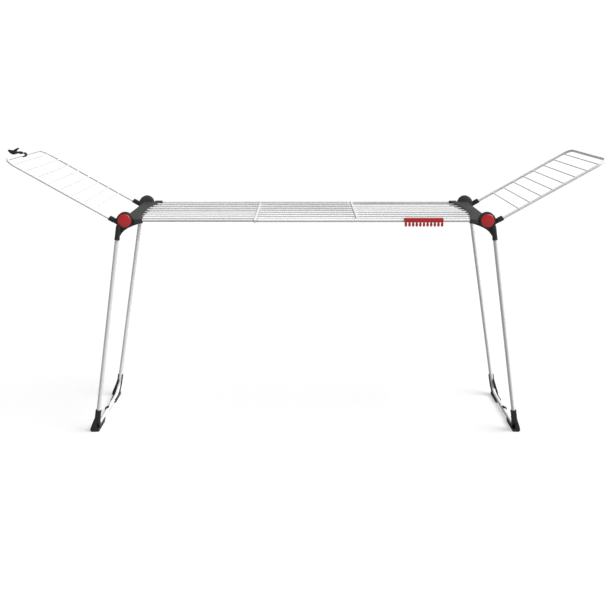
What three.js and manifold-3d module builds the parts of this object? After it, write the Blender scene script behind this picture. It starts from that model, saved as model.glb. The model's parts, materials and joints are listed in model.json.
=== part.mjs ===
// Extendable winged clothes drying rack: a telescoping deck of ten rods between two moulded heads,
// two folding wire wings, two folding leg frames, a swivelling latch and a sliding small-items comb.
// Millimetres, +Z up, +Y to the back. The origin is on the floor, under the middle of the whole box.
import * as THREE from 'three';
import { mergeVertices } from 'three/addons/utils/BufferGeometryUtils.js';
import Module from 'manifold-3d';

const wasm = await Module();
wasm.setup();

// ---- Driving dimensions ----------------------------------------------------------------------

const HUB_X = 757.6; // hub centre to the middle of the extended deck
const HUB_Z = 960; // hub centre above the floor
const LATCH_SHIFT = 32.4; // the latch makes the left end longer, so the rack stands this far to +X
const GAP = 0.3; // gap left between touching pieces
const RAIL_FIT = 0.4; // radial room round a rail or a wing tube in its socket
const TUBE_FIT = 0.45; // and round a deck tube
const GUIDE_FIT = 0.7; // looser bore for the other half's sliding tubes
const OVERCUT = 5; // a cutting solid runs this far past what it cuts

// Deck rods. Local x runs from a hub towards the middle of the deck.
const ROD_PITCH = 60; // spacing of the ten rods across the depth
const RODS_PER_GROUP = 4; // rods of each half, besides its rail
const ROD_Z = 0.2; // rod axis above the hub centre
const RAIL_Y = 4.5 * ROD_PITCH;
const RAIL_R = 7.25;
const RAIL_BORE_R = 6.5;
const INNER_RAIL_R = 6;
const INNER_RAIL_BORE_R = 5.1;
const TUBE_R = 4;
const TUBE_BORE_R = 3.15;
const INNER_ROD_R = 2.5;
const TUBE_END = HUB_X + 220; // the outer tubes run this far from their own hub
const INNER_END = HUB_X - 40; // and the inner rods this far
const SOCKET_START = 34; // bottom of the rod sockets in a head
const RAIL_START = 41;
const GUIDE_WIDTH = 8;
const GUIDE_HALF_HEIGHT = 5.8;

// Head
const PANEL_TOP = 7.2;
const PANEL_BOTTOM = -11.8;
const PANEL_SKIN = 3;
const PANEL_OUTER = -8.5;
const PANEL_WAIST = 43; // inner edge of the panel in the middle of the depth
const HEAD_TIP = 73; // inner edge of the panel at the rails
const ARM_RISE = 1.3; // the cheeks stand this far above the panel at the tips
const SHOULDER_X = 34; // and level with it here
const PANEL_Y = 250.5;
const PANEL_WALL = 4;
const RIB_HALF = 8; // half-width of the rib round each rod socket
const EDGE_WALL = 10; // left between a pocket and the panel's inner edge
const NOTCH_R = 7.7; // round notch in the inner edge at each rod, open at the panel's top
const NOTCH_DEPTH = 4.5;
const CORNER_X = 38.5; // in front of this the hub discs need the room
const CHEEK_IN = 250;
const CHEEK_OUT = 258.7;
const CHEEK_R = 34.5;
const HUB_ROOM_R = CHEEK_R + 1; // kept clear of leg socket for whatever turns at the hub
const RAIL_SLEEVE_R = 9.3;

// Hub stack, from the cheek outwards
const WING_DISC_IN = 259;
const WING_DISC_OUT = 267.2;
const WING_DISC_R = 33.5;
const LEG_DISC_IN = 267.5;
const LEG_DISC_OUT = 277;
const LEG_DISC_R = 34.2;
const CAP_IN = 277.3;
const CAP_OUT = 281.3;
const CAP_R = 27.8;
const PIN_R = 6;
const PIN_BORE_R = 6.6;
const PIN_HEAD_R = 10;
const PIN_HEAD_THICK = 3;
const PIN_IN = 246;

// Wings. Local x runs from the wing's far end to the hub, z away from the folded deck.
const WING_ANGLE = THREE.MathUtils.degToRad(29.9);
const WING_LENGTH = 543; // hub centre to the end bar's axis
const WING_OFFSET = -25.2; // tube axes below the hub centre
const WING_TUBE_R = 5.5;
const WING_BORE_R = 4.6;
const WING_Y = 265;
const WING_BEND = 50;
const ARM_END = 62;
const ARM_START = 37;
const TUBE_STOP = -ARM_START - 3; // bottom of the arm's socket
const ARM_TOP = -12.8;
const ARM_BOTTOM = -32.4;
const ARM_IN = 256.9;
const ARM_OUT = 273.1;
const WIRE_R = 2.2;
const WIRE_COUNT = 8;
const WIRE_FIRST = 138;
const WIRE_PITCH = 52.6;
const WIRE_INSET = 1.5; // wire ends inside the tube's inner wall, short of its axis

// Legs. Local z runs up the leg.
const LEG_SPLAY = THREE.MathUtils.degToRad(9.54);
const LEG_OFFSET = 22.7; // leg axis outside the hub centre
const LEG_R = 8.8;
const LEG_TUBE_BORE_R = 7.8;
const LEG_ROOM_R = 9.3; // bore of whatever holds a leg tube
const LEG_TOP_Y = 272.6;
const FOOT_Y = 236;
const LEG_BEND = 62;
const FLOOR_BAR_Z = 14; // floor bar axis above the floor
const LEG_SOCKET_R = 10.6;
const LEG_SOCKET_TOP = -28;
const LEG_SOCKET_END = -87;
const LEG_TOP = -44; // upper ends of the leg tubes

// Shoes and floor bar clips
const SHOE_WALL = 3.2;
const SHOE_CHAMFER = 4;
const SHOE_RIM = 0.7 * LEG_R; // the channel's walls end this far to the inside of the bend
const SHOE_UP = 30; // shoe length up the leg above the bend
const SHOE_ALONG = 62; // and along the floor bar
const LEFT_FLARE = 17;
const RIGHT_FLARE = 11;
const CLIP_LENGTH = 30;
const CLIP_WALL = 3;
const CLIP_MOUTH = THREE.MathUtils.degToRad(150); // opening on the inside of the floor bar

// Latch on the left wing's end bar
const LATCH_RING_R = 10;
const LATCH_BORE_R = 6;
const LATCH_WIDTH = 13; // half-width of the ring; the hook is half as wide

// Comb on the front rail, in the deck's own frame
const COMB_X = 492 - HUB_X; // middle of the comb from the right hub
const COMB_TEETH = 11;
const COMB_PITCH = 15.1;
const COMB_SLOT = 4.4;
const COMB_HOLE_R = 3.6;
const COMB_HOLE_Z = -8.5;
const COMB_TOP = 10.6;
const COMB_ROOF = 2.3; // thickness over the rail
const COMB_BOTTOM = -24.5;
const COMB_FRONT = 281.6;
const COMB_WALL = 3;
const COMB_BACK = 259.3;
const COMB_LIP = -10;

// Facets round a circle, by size
const SIDES_LARGE = 32;
const SIDES_PIN = 16;
const SIDES_RAIL = 12;
const SIDES_ROD = 8;
const SIDES_WIRE = 6;
const BEND_STEPS = 6; // stations round a right-angled bend

// ---- Solid helpers ---------------------------------------------------------------------------

function solid(geometry) {
  const bare = geometry.clone();
  bare.deleteAttribute('normal');
  bare.deleteAttribute('uv');
  const merged = mergeVertices(bare, 1e-4);
  return new wasm.Manifold(new wasm.Mesh({
    numProp: 3,
    vertProperties: merged.attributes.position.array,
    triVerts: new Uint32Array(merged.index.array),
  }));
}

function geometryOf(body) {
  const mesh = body.getMesh();
  const indexed = new THREE.BufferGeometry();
  indexed.setAttribute('position', new THREE.BufferAttribute(mesh.vertProperties, 3));
  indexed.setIndex(new THREE.BufferAttribute(mesh.triVerts, 1));
  const flat = indexed.toNonIndexed();
  flat.computeVertexNormals();
  return flat;
}

function joined(...geometries) {
  return geometries.map(solid).reduce((whole, part) => whole.add(part));
}

function cut(body, ...geometries) {
  return geometries.reduce((whole, part) => whole.subtract(solid(part)), body);
}

function rodX(radius, fromX, toX, y, z, sides) {
  const rod = new THREE.CylinderGeometry(radius, radius, toX - fromX, sides);
  rod.rotateZ(Math.PI / 2);
  return rod.translate((fromX + toX) / 2, y, z);
}

function rodY(radius, fromY, toY, x, z, sides) {
  const rod = new THREE.CylinderGeometry(radius, radius, toY - fromY, sides);
  return rod.translate(x, (fromY + toY) / 2, z);
}

function pipeX(radius, bore, fromX, toX, y, z, sides) {
  const half = (toX - fromX) / 2;
  const profile = [
    new THREE.Vector2(bore, -half),
    new THREE.Vector2(radius, -half),
    new THREE.Vector2(radius, half),
    new THREE.Vector2(bore, half),
    new THREE.Vector2(bore, -half),
  ];
  const pipe = new THREE.LatheGeometry(profile, sides);
  pipe.rotateZ(Math.PI / 2);
  return pipe.translate((fromX + toX) / 2, y, z);
}

function box(fromX, toX, fromY, toY, fromZ, toZ) {
  const block = new THREE.BoxGeometry(toX - fromX, toY - fromY, toZ - fromZ);
  return block.translate((fromX + toX) / 2, (fromY + toY) / 2, (fromZ + toZ) / 2);
}

// A plate whose outline is drawn in x and z, from fromY to toY.
function plateXZ(shape, fromY, toY, curveSegments = 12) {
  const plate = new THREE.ExtrudeGeometry(shape, {
    depth: toY - fromY,
    bevelEnabled: false,
    curveSegments,
  });
  plate.rotateX(Math.PI / 2);
  return plate.translate(0, toY, 0);
}

// A plate whose outline is drawn in x and y, from fromZ to toZ.
function plateXY(shape, fromZ, toZ, curveSegments = 12) {
  const plate = new THREE.ExtrudeGeometry(shape, {
    depth: toZ - fromZ,
    bevelEnabled: false,
    curveSegments,
  });
  return plate.translate(0, 0, fromZ);
}

function outline(points) {
  return new THREE.Shape(points.map(([x, y]) => new THREE.Vector2(x, y)));
}

// A flat path of straight runs joined by round bends, with stations only at the ends and round
// the bends. Sections swept along it keep their first axis on the plane's normal.
class BentPath extends THREE.Curve {
  constructor(corners, bendRadius, planeNormal) {
    super();
    this.normal = planeNormal;
    this.stations = [corners[0]];
    for (let i = 1; i < corners.length - 1; i += 1) {
      const arriving = corners[i].clone().sub(corners[i - 1]).normalize();
      const leaving = corners[i + 1].clone().sub(corners[i]).normalize();
      const turn = arriving.angleTo(leaving);
      const inward = leaving.clone().addScaledVector(arriving, -arriving.dot(leaving)).normalize();
      const start = corners[i].clone().addScaledVector(arriving, -bendRadius * Math.tan(turn / 2));
      const centre = start.clone().addScaledVector(inward, bendRadius);
      for (let step = 0; step <= BEND_STEPS; step += 1) {
        const angle = (turn * step) / BEND_STEPS;
        const point = centre.clone();
        point.addScaledVector(inward, -bendRadius * Math.cos(angle));
        point.addScaledVector(arriving, bendRadius * Math.sin(angle));
        this.stations.push(point);
      }
    }
    this.stations.push(corners[corners.length - 1]);
  }

  get steps() {
    return this.stations.length - 1;
  }

  getSpacedPoints() {
    return this.stations;
  }

  computeFrenetFrames() {
    const last = this.steps;
    const tangents = this.stations.map((station, i) => {
      const before = this.stations[Math.max(i - 1, 0)];
      const after = this.stations[Math.min(i + 1, last)];
      const arriving = station.clone().sub(before).normalize();
      const leaving = after.clone().sub(station).normalize();
      return arriving.add(leaving).normalize();
    });
    const normals = tangents.map(() => this.normal.clone());
    const binormals = tangents.map((tangent) => tangent.clone().cross(this.normal).normalize());
    return { tangents, normals, binormals };
  }
}

function circleShape(radius) {
  const shape = new THREE.Shape();
  shape.absarc(0, 0, radius, 0, 2 * Math.PI);
  return shape;
}

function ringShape(radius, bore) {
  const shape = circleShape(radius);
  shape.holes.push(circleShape(bore));
  return shape;
}

function sweep(shape, path, curveSegments) {
  return new THREE.ExtrudeGeometry(shape, {
    extrudePath: path,
    steps: path.steps,
    bevelEnabled: false,
    curveSegments,
  });
}

// ---- Materials -------------------------------------------------------------------------------

const FINISHES = {
  white: { color: 0xe9eaea, roughness: 0.35, metalness: 0.1 },
  grey: { color: 0xb9bbbd, roughness: 0.35, metalness: 0.3 },
  panel: { color: 0x4a4a4b, roughness: 0.55, metalness: 0 },
  black: { color: 0x232324, roughness: 0.5, metalness: 0 },
  red: { color: 0xa01a22, roughness: 0.25, metalness: 0 },
  steel: { color: 0x8f9194, roughness: 0.3, metalness: 0.9 },
  ivory: { color: 0xe4e4e2, roughness: 0.45, metalness: 0 },
};

function piece(name, geometry, finish) {
  const mesh = new THREE.Mesh(geometry, new THREE.MeshStandardMaterial(FINISHES[finish]));
  mesh.name = name;
  return mesh;
}

// ---- Head ------------------------------------------------------------------------------------

const rodYs = [];
for (let i = 1; i <= RODS_PER_GROUP; i += 1) rodYs.push((i - 0.5) * ROD_PITCH);

// The inner edge is a shallow arc through the two tips.
function innerEdge(y) {
  return PANEL_WAIST + (HEAD_TIP - PANEL_WAIST) * (y / RAIL_Y) ** 2;
}

function panelOutline() {
  const outside = RAIL_Y + RAIL_SLEEVE_R;
  const points = [
    [PANEL_OUTER, PANEL_Y],
    [PANEL_OUTER, -PANEL_Y],
    [CORNER_X, -PANEL_Y],
    [CORNER_X, -outside],
    [HEAD_TIP, -outside],
  ];
  const edgeSteps = 12;
  for (let step = 0; step <= edgeSteps; step += 1) {
    const y = -RAIL_Y + (2 * RAIL_Y * step) / edgeSteps;
    points.push([innerEdge(y), y]);
  }
  points.push([HEAD_TIP, outside]);
  points.push([CORNER_X, outside]);
  points.push([CORNER_X, PANEL_Y]);
  return outline(points);
}

// Cheek: the hub disc, the arm to the rail, and the web that sweeps down to back up the leg.
function cheekOutline() {
  const shape = new THREE.Shape();
  shape.moveTo(HEAD_TIP, PANEL_TOP + ARM_RISE);
  shape.lineTo(SHOULDER_X, PANEL_TOP);
  shape.lineTo(0, 14);
  shape.lineTo(-30, -12);
  shape.lineTo(-31, -66);
  shape.lineTo(-24, -66);
  shape.quadraticCurveTo(-7.7, -32, HEAD_TIP, PANEL_BOTTOM);
  return shape;
}

function headGeometry() {
  const cheeks = [-1, 1].map((end) => {
    const near = end > 0 ? CHEEK_IN : -CHEEK_OUT;
    const far = end > 0 ? CHEEK_OUT : -CHEEK_IN;
    return joined(
      rodY(CHEEK_R, near, far, 0, 0, SIDES_LARGE),
      plateXZ(cheekOutline(), near, far, 8),
      rodX(RAIL_SLEEVE_R, CORNER_X, HEAD_TIP, end * RAIL_Y, ROD_Z, SIDES_RAIL),
    );
  });
  const panel = solid(plateXY(panelOutline(), PANEL_BOTTOM, PANEL_TOP));
  let head = panel.add(cheeks[0]).add(cheeks[1]);
  // Pockets under the skin leave a thick rib round each rod socket.
  const rodRow = [...rodYs].reverse().map((y) => -y).concat(rodYs);
  const ribRow = [-RAIL_Y, ...rodRow, RAIL_Y];
  for (let i = 0; i < ribRow.length - 1; i += 1) {
    const fromY = Math.max(ribRow[i] + RIB_HALF, -CHEEK_IN + PANEL_WALL);
    const toY = Math.min(ribRow[i + 1] - RIB_HALF, CHEEK_IN - PANEL_WALL);
    const fromX = PANEL_OUTER + PANEL_WALL;
    const toX = innerEdge(Math.min(Math.abs(fromY), Math.abs(toY))) - EDGE_WALL;
    const pocket = box(fromX, toX, fromY, toY, PANEL_BOTTOM - OVERCUT, PANEL_TOP - PANEL_SKIN);
    head = cut(head, pocket);
  }
  for (const y of rodRow) {
    const edge = innerEdge(y);
    const pastEdge = HEAD_TIP + OVERCUT;
    const socket = rodX(TUBE_R + TUBE_FIT, SOCKET_START, pastEdge, y, ROD_Z, SIDES_ROD);
    const notch = rodX(NOTCH_R, edge - NOTCH_DEPTH, pastEdge, y, ROD_Z, SIDES_RAIL);
    head = cut(head, socket, notch);
  }
  for (const end of [-1, 1]) {
    const railY = end * RAIL_Y;
    const socket = rodX(RAIL_R + RAIL_FIT, RAIL_START, HEAD_TIP + OVERCUT, railY, ROD_Z, SIDES_RAIL);
    const boreEnds = [end * (PIN_IN - 1), end * (CHEEK_OUT + OVERCUT)].sort((a, b) => a - b);
    head = cut(head, socket, rodY(PIN_BORE_R, ...boreEnds, 0, 0, SIDES_PIN));
  }
  return geometryOf(head);
}

// ---- Hub stack: pin, wing arm, leg bracket and cap, drawn for the end at -Y -------------------

function pinGeometry() {
  const head = LEG_DISC_OUT - GAP;
  const profile = [
    new THREE.Vector2(0, -head),
    new THREE.Vector2(PIN_HEAD_R, -head),
    new THREE.Vector2(PIN_HEAD_R, -head + PIN_HEAD_THICK),
    new THREE.Vector2(PIN_R, -head + PIN_HEAD_THICK),
    new THREE.Vector2(PIN_R, -PIN_IN),
    new THREE.Vector2(0, -PIN_IN),
  ];
  return new THREE.LatheGeometry(profile, SIDES_PIN);
}

// Drawn in the wing's frame: the wing lies along -x, with its tubes at z = WING_OFFSET.
function wingArmGeometry() {
  const web = outline([
    [-ARM_START, ARM_TOP],
    [-28, 4],
    [6, -30],
    [2, -34],
    [-ARM_START, ARM_BOTTOM],
    [-ARM_START - 6, ARM_BOTTOM],
    [-ARM_START - 6, ARM_TOP],
  ]);
  const corner = 4;
  const section = outline([
    [-ARM_START, ARM_TOP],
    [-ARM_START, ARM_BOTTOM + corner],
    [-ARM_START - corner, ARM_BOTTOM],
    [-ARM_END - 1, ARM_BOTTOM],
    [-ARM_END + 1, ARM_TOP],
  ]);
  const arm = joined(
    rodY(WING_DISC_R, -WING_DISC_OUT, -WING_DISC_IN, 0, 0, SIDES_LARGE),
    plateXZ(web, -WING_DISC_OUT, -WING_DISC_IN),
    plateXZ(section, -ARM_OUT, -ARM_IN),
  );
  return geometryOf(cut(
    arm,
    rodY(PIN_BORE_R, -WING_DISC_OUT - OVERCUT, -WING_DISC_IN + OVERCUT, 0, 0, SIDES_PIN),
    rodX(WING_TUBE_R + RAIL_FIT, -ARM_END - OVERCUT, TUBE_STOP, -WING_Y, WING_OFFSET, SIDES_ROD),
  ));
}

// Drawn in the leg's frame: the leg hangs along -z at x = -LEG_OFFSET.
const LEG_LEAN = (LEG_TOP_Y - FOOT_Y) / (HUB_Z / Math.cos(LEG_SPLAY));

function legAxisY(z) {
  return LEG_TOP_Y + LEG_LEAN * z;
}

function alongLeg(radius, fromZ, toZ, sides) {
  const from = new THREE.Vector3(-LEG_OFFSET, -legAxisY(fromZ), fromZ);
  const to = new THREE.Vector3(-LEG_OFFSET, -legAxisY(toZ), toZ);
  return sweep(circleShape(radius), new BentPath([from, to], 0, new THREE.Vector3(1, 0, 0)), sides / 2);
}

function legBracketGeometry() {
  const gusset = outline([
    [-LEG_OFFSET - 8, -14],
    [-13, -32],
    [-LEG_OFFSET + 9.5, LEG_SOCKET_END + 6],
    [-LEG_OFFSET - 8, LEG_SOCKET_END + 6],
  ]);
  const bracket = joined(
    rodY(LEG_DISC_R, -LEG_DISC_OUT, -LEG_DISC_IN, 0, 0, SIDES_LARGE),
    plateXZ(gusset, -LEG_DISC_OUT, -LEG_DISC_IN),
    alongLeg(LEG_SOCKET_R, LEG_SOCKET_TOP, LEG_SOCKET_END, SIDES_RAIL),
  );
  // The socket's round top is trimmed away where the wing arm and the cheek turn.
  const hubRoom = rodY(HUB_ROOM_R, -LEG_DISC_IN, -WING_DISC_IN + OVERCUT, 0, 0, SIDES_LARGE);
  const frontRoom = rodY(HUB_ROOM_R, -LEG_DISC_OUT - 2 * OVERCUT, -LEG_DISC_OUT, 0, 0, SIDES_LARGE);
  const recessEnd = -LEG_DISC_OUT + PIN_HEAD_THICK + 2 * GAP;
  const recess = rodY(PIN_HEAD_R + 2 * GAP, -LEG_DISC_OUT - OVERCUT, recessEnd, 0, 0, SIDES_PIN);
  return geometryOf(cut(
    bracket,
    hubRoom,
    frontRoom,
    recess,
    rodY(PIN_BORE_R, -LEG_DISC_OUT - OVERCUT, -LEG_DISC_IN + OVERCUT, 0, 0, SIDES_PIN),
    alongLeg(LEG_ROOM_R, LEG_TOP + 2, LEG_SOCKET_END - OVERCUT, SIDES_RAIL),
  ));
}

function capGeometry() {
  const profile = [
    new THREE.Vector2(0, -CAP_OUT),
    new THREE.Vector2(CAP_R * 0.5, -CAP_OUT + 0.5),
    new THREE.Vector2(CAP_R * 0.85, -CAP_OUT + 1.5),
    new THREE.Vector2(CAP_R, -CAP_IN - 1.2),
    new THREE.Vector2(CAP_R, -CAP_IN),
    new THREE.Vector2(0, -CAP_IN),
  ];
  return new THREE.LatheGeometry(profile, SIDES_LARGE);
}

// ---- Wing grid -------------------------------------------------------------------------------

function wingGridGeometry() {
  const inner = TUBE_STOP - 2;
  const path = new BentPath([
    new THREE.Vector3(inner, -WING_Y, WING_OFFSET),
    new THREE.Vector3(-WING_LENGTH, -WING_Y, WING_OFFSET),
    new THREE.Vector3(-WING_LENGTH, WING_Y, WING_OFFSET),
    new THREE.Vector3(inner, WING_Y, WING_OFFSET),
  ], WING_BEND, new THREE.Vector3(0, 0, 1));
  let grid = solid(sweep(ringShape(WING_TUBE_R, WING_BORE_R), path, SIDES_ROD / 2));
  for (let i = 0; i < WIRE_COUNT; i += 1) {
    const x = -WIRE_FIRST - i * WIRE_PITCH;
    // Where the corner bend narrows the frame, a wire stops at the tube.
    const intoBend = Math.max(0, -x - (WING_LENGTH - WING_BEND));
    const narrowing = WING_BEND - Math.sqrt(WING_BEND ** 2 - intoBend ** 2);
    const reach = WING_Y - WIRE_INSET - narrowing;
    grid = grid.add(solid(rodY(WIRE_R, -reach, reach, x, WING_OFFSET, SIDES_WIRE)));
  }
  return geometryOf(grid);
}

// ---- Leg frame, shoes and clip, in the leg's frame ---------------------------------------------

// Height in the leg's frame of a point on the leg axis, from its height above the floor.
function onLegAxis(heightAboveFloor) {
  const drop = HUB_Z - heightAboveFloor;
  return -(drop + LEG_OFFSET * Math.sin(LEG_SPLAY)) / Math.cos(LEG_SPLAY);
}

const BAR_Z = onLegAxis(FLOOR_BAR_Z);

function legPath(topZ) {
  const footY = legAxisY(BAR_Z);
  return new BentPath([
    new THREE.Vector3(-LEG_OFFSET, -legAxisY(topZ), topZ),
    new THREE.Vector3(-LEG_OFFSET, -footY, BAR_Z),
    new THREE.Vector3(-LEG_OFFSET, footY, BAR_Z),
    new THREE.Vector3(-LEG_OFFSET, legAxisY(topZ), topZ),
  ], LEG_BEND, new THREE.Vector3(1, 0, 0));
}

function legFrameGeometry() {
  return sweep(ringShape(LEG_R, LEG_TUBE_BORE_R), legPath(LEG_TOP), SIDES_RAIL / 2);
}

// Turns a solid drawn upright, with z as the height above the floor, into the leg's frame.
function leaning(geometry) {
  return geometry.translate(0, 0, -HUB_Z).rotateY(-LEG_SPLAY);
}

// A corner shoe: a channel round the outside of the bend, open to the inside, on a flat sole,
// with a fin that flares outwards near the floor. Built for the corner at -Y.
function shoeGeometry(flare) {
  const channel = LEG_R + SHOE_WALL;
  const section = new THREE.Shape();
  section.moveTo(-channel, channel - SHOE_CHAMFER);
  section.lineTo(-channel + SHOE_CHAMFER, channel);
  section.lineTo(channel - SHOE_CHAMFER, channel);
  section.lineTo(channel, channel - SHOE_CHAMFER);
  section.lineTo(channel, -SHOE_RIM);
  section.lineTo(-channel, -SHOE_RIM);
  const footY = legAxisY(BAR_Z);
  const topZ = BAR_Z + LEG_BEND + SHOE_UP;
  const corner = new BentPath([
    new THREE.Vector3(-LEG_OFFSET, -legAxisY(topZ), topZ),
    new THREE.Vector3(-LEG_OFFSET, -footY, BAR_Z),
    new THREE.Vector3(-LEG_OFFSET, -footY + LEG_BEND + SHOE_ALONG, BAR_Z),
  ], LEG_BEND, new THREE.Vector3(1, 0, 0));
  const axisX = (height) => -LEG_OFFSET / Math.cos(LEG_SPLAY) - (HUB_Z - height) * Math.tan(LEG_SPLAY);
  const solePad = box(
    axisX(0) - channel - 1, axisX(0) + channel + 2,
    -footY - 8, -footY + LEG_BEND + SHOE_ALONG - 6,
    -OVERCUT, FLOOR_BAR_Z,
  );
  const fin = new THREE.Shape();
  const finX = (height, out) => axisX(height) - LEG_R - out;
  fin.moveTo(axisX(86), 86);
  fin.lineTo(finX(86, 0), 86);
  fin.quadraticCurveTo(finX(60, flare * 0.35), 60, finX(34, flare * 0.8), 34);
  fin.quadraticCurveTo(finX(14, flare * 1.15), 14, finX(6, flare), 6);
  fin.lineTo(finX(0, flare - 7), 0);
  fin.lineTo(axisX(0), 0);
  const shoe = joined(
    sweep(section, corner, 4),
    leaning(solePad),
    leaning(plateXZ(fin, -footY - 9, -footY + 24, 5)),
  );
  const ground = box(-600, 200, -400, 0, -60, 0);
  return geometryOf(cut(
    shoe,
    leaning(ground),
    sweep(circleShape(LEG_ROOM_R), legPath(LEG_TOP), SIDES_RAIL / 2),
    sweep(openSide(), legPath(LEG_TOP), 1),
  ));
}

// The strip on the inside of the bend that the channel leaves open.
function openSide() {
  const half = LEG_ROOM_R - 2 * GAP;
  const reach = 2 * (LEG_R + SHOE_WALL);
  return outline([[-half, -reach], [half, -reach], [half, 0], [-half, 0]]);
}

// A snap-on clip round the outer side of the floor bar, at its middle, with a small thumb ledge.
function clipGeometry() {
  const inner = LEG_ROOM_R;
  const outer = LEG_R + CLIP_WALL;
  const start = CLIP_MOUTH / 2;
  const end = 2 * Math.PI - start;
  const ring = new THREE.Shape();
  ring.absarc(0, 0, outer, start, end, false);
  ring.absarc(0, 0, inner, end, start, true);
  const ledge = outline([[-outer + 1, -2], [-outer - 2.5, 1], [-outer - 2.5, 5], [-outer + 2, 7]]);
  const clip = joined(
    plateXZ(ring, -CLIP_LENGTH / 2, CLIP_LENGTH / 2, 10),
    plateXZ(ledge, -CLIP_LENGTH / 2 + 4, CLIP_LENGTH / 2 - 4),
  );
  return geometryOf(clip).translate(-LEG_OFFSET, 0, BAR_Z);
}

// ---- Deck rods and guide bar -------------------------------------------------------------------

// A half's thick tubes are at +y in its own frame, and its thin rods at -y.
function guideBarGeometry() {
  const farEnd = -rodYs[RODS_PER_GROUP - 1] - 9;
  const to = TUBE_END - 1;
  const from = to - GUIDE_WIDTH;
  const bar = joined(
    box(from, to, farEnd, RAIL_Y, ROD_Z - GUIDE_HALF_HEIGHT, ROD_Z + GUIDE_HALF_HEIGHT),
    rodX(RAIL_SLEEVE_R, from, to, RAIL_Y, ROD_Z, SIDES_RAIL),
  );
  const boreX = [from - OVERCUT, to + OVERCUT];
  const bores = [rodX(RAIL_R + RAIL_FIT, ...boreX, RAIL_Y, ROD_Z, SIDES_RAIL)];
  for (const y of rodYs) {
    bores.push(rodX(TUBE_R + TUBE_FIT, ...boreX, y, ROD_Z, SIDES_ROD));
    bores.push(rodX(TUBE_R + GUIDE_FIT, ...boreX, -y, ROD_Z, SIDES_ROD));
  }
  return geometryOf(cut(bar, ...bores));
}

function addDeckRods(group, side, thickEnd, thinEnd) {
  const outerRail = pipeX(RAIL_R, RAIL_BORE_R, RAIL_START + GAP, TUBE_END, RAIL_Y, ROD_Z, SIDES_RAIL);
  const innerRail = pipeX(
    INNER_RAIL_R, INNER_RAIL_BORE_R, RAIL_START + GAP, INNER_END, -RAIL_Y, ROD_Z, SIDES_RAIL,
  );
  group.add(piece(`${side}_${thickEnd}_outer_rail`, outerRail, 'white'));
  group.add(piece(`${side}_${thinEnd}_inner_rail`, innerRail, 'grey'));
  rodYs.forEach((y, i) => {
    const from = SOCKET_START + GAP;
    const outer = pipeX(TUBE_R, TUBE_BORE_R, from, TUBE_END, y, ROD_Z, SIDES_ROD);
    const inner = rodX(INNER_ROD_R, from, INNER_END, -y, ROD_Z, SIDES_ROD);
    group.add(piece(`${side}_${thickEnd}_outer_tube_${i + 1}`, outer, 'white'));
    group.add(piece(`${side}_${thinEnd}_inner_rod_${i + 1}`, inner, 'grey'));
  });
  group.add(piece(`${side}_guide_bar`, guideBarGeometry(), 'ivory'));
}

// ---- Latch and comb ----------------------------------------------------------------------------

// Drawn in the wing's frame round the end bar, reaching outwards along -x.
function latchGeometry() {
  const body = new THREE.Shape();
  body.moveTo(-7, 3);
  body.lineTo(-14, 7.5);
  body.lineTo(-24, 3);
  body.quadraticCurveTo(-33, -2, -36, -8);
  body.quadraticCurveTo(-38, 2, -31, 12);
  body.lineTo(-36, 14.5);
  body.quadraticCurveTo(-46, 4, -48, -5);
  body.lineTo(-62, -12);
  body.lineTo(-69, -14);
  body.lineTo(-70, -19);
  body.lineTo(-62, -22);
  body.quadraticCurveTo(-48, -27, -38, -21);
  body.quadraticCurveTo(-30, -13, -22, -5);
  body.lineTo(-9, -3);
  const latch = joined(
    rodY(LATCH_RING_R, -LATCH_WIDTH, LATCH_WIDTH, 0, 0, SIDES_PIN),
    plateXZ(body, -LATCH_WIDTH / 2, LATCH_WIDTH / 2, 6),
  );
  const bore = rodY(LATCH_BORE_R, -LATCH_WIDTH - OVERCUT, LATCH_WIDTH + OVERCUT, 0, 0, SIDES_ROD);
  return geometryOf(cut(latch, bore)).translate(-WING_LENGTH, 0, WING_OFFSET);
}

function combPlate() {
  const half = (COMB_TEETH * COMB_PITCH) / 2;
  const toothR = (COMB_PITCH - COMB_SLOT) / 2;
  const neck = Math.sqrt(COMB_HOLE_R ** 2 - (COMB_SLOT / 2) ** 2);
  const toothEnd = COMB_BOTTOM + toothR;
  const plate = new THREE.Shape();
  plate.moveTo(half - COMB_SLOT / 2, COMB_TOP);
  plate.lineTo(-half + COMB_SLOT / 2, COMB_TOP);
  for (let tooth = 0; tooth < COMB_TEETH; tooth += 1) {
    const middle = -half + (tooth + 0.5) * COMB_PITCH;
    plate.lineTo(middle - toothR, toothEnd);
    plate.absarc(middle, toothEnd, toothR, Math.PI, 2 * Math.PI, false);
    if (tooth < COMB_TEETH - 1) {
      const slot = middle + COMB_PITCH / 2;
      const from = Math.atan2(-neck, -COMB_SLOT / 2);
      const to = Math.atan2(-neck, COMB_SLOT / 2);
      plate.absarc(slot, COMB_HOLE_Z, COMB_HOLE_R, from, to, true);
    }
  }
  return plate;
}

// Drawn for the rail at +y of the right half: a front plate with keyhole slots, folded over the rail.
function combGeometry() {
  const half = (COMB_TEETH * COMB_PITCH - COMB_SLOT) / 2;
  const comb = joined(
    plateXZ(combPlate(), COMB_FRONT - COMB_WALL, COMB_FRONT, 4),
    box(-half, half, COMB_BACK, COMB_FRONT - 1, COMB_TOP - COMB_ROOF, COMB_TOP),
    box(-half, half, COMB_BACK, COMB_BACK + 2.6, COMB_LIP, COMB_TOP - 1),
  );
  return geometryOf(comb).translate(-COMB_X, 0, 0);
}

// ---- Assembly ----------------------------------------------------------------------------------

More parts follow.
